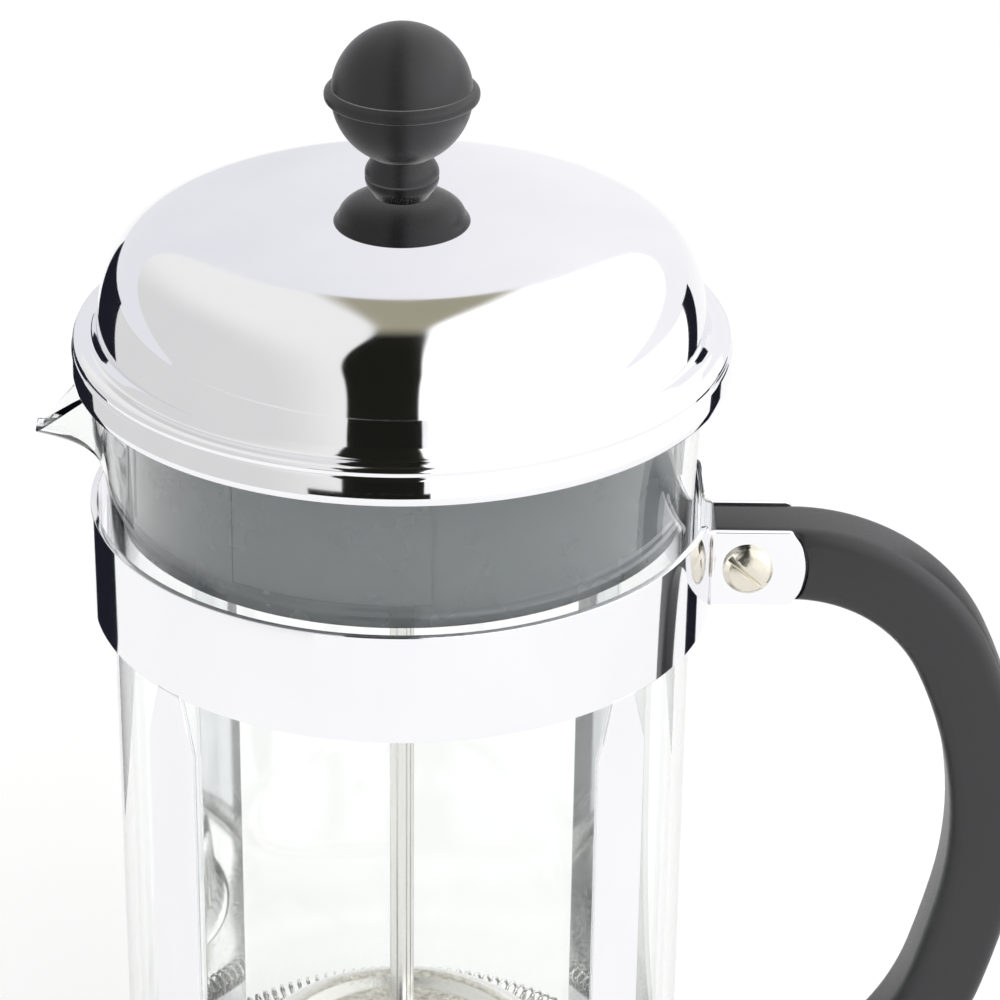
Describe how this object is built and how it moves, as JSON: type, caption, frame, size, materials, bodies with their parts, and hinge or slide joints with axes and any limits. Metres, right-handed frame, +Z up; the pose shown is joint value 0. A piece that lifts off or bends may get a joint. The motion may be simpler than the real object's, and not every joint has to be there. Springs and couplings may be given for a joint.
{
  "type": "french press",
  "caption": "French press: glass beaker in a chromed steel stand with a black side handle, domed steel lid with strainer, and a ball-knob plunger with a sprung mesh filter.",
  "frame": {"origin": "centre of the overall box, on the table under the feet; the beaker's axis stands a little to its -X side", "axes": "+Z up along the plunger rod, +X towards the handle, the spout points to -X, +Y across"},
  "size_m": [0.1674, 0.1074, 0.2441],
  "materials": {
    "chrome": "mirror-polished chrome plate",
    "plated_steel": "plain nickel plate",
    "stainless": "satin stainless steel",
    "black_plastic": "fine satin grain",
    "grey_plastic": "semi-gloss, slightly translucent",
    "glass": "clear borosilicate glass",
    "brass": "turned brass"
  },
  "bodies": {
    "stand": {"frame_hoop": "chrome", "base_cross": "plated_steel", "base_rivets": "plated_steel", "handle": "black_plastic", "handle_bolt": "plated_steel", "handle_washer": "plated_steel", "handle_nut": "plated_steel"},
    "beaker": {"beaker": "glass"},
    "lid_hub": {"lid_ferrule": "black_plastic", "lid_nut": "plated_steel"},
    "lid": {"lid_dome": "chrome", "lid_strainer": "grey_plastic"},
    "plunger": {"knob_base": "black_plastic", "knob_cap": "black_plastic", "knob_insert": "brass", "plunger_rod": "stainless", "rod_collar": "stainless", "spring_plate": "stainless", "filter_spring": "stainless", "filter_mesh": "stainless", "cross_plate": "stainless", "cross_hub": "stainless"}
  },
  "joints": [
    {"name": "beaker_lift", "type": "slide", "parent": "stand", "child": "beaker", "axis": [0, 0, 1], "range_m": [0, 0.16]},
    {"name": "lid_lift", "type": "slide", "parent": "beaker", "child": "lid_hub", "axis": [0, 0, 1], "range_m": [0, 0.165]},
    {"name": "lid_turn", "type": "hinge", "parent": "lid_hub", "child": "lid", "pos_m": [-0.02323, 0, 0.19], "axis": [0, 0, 1], "continuous": true},
    {"name": "plunger_slide", "type": "slide", "parent": "lid_hub", "child": "plunger", "axis": [0, 0, 1], "range_m": [0, 0.115]}
  ]
}
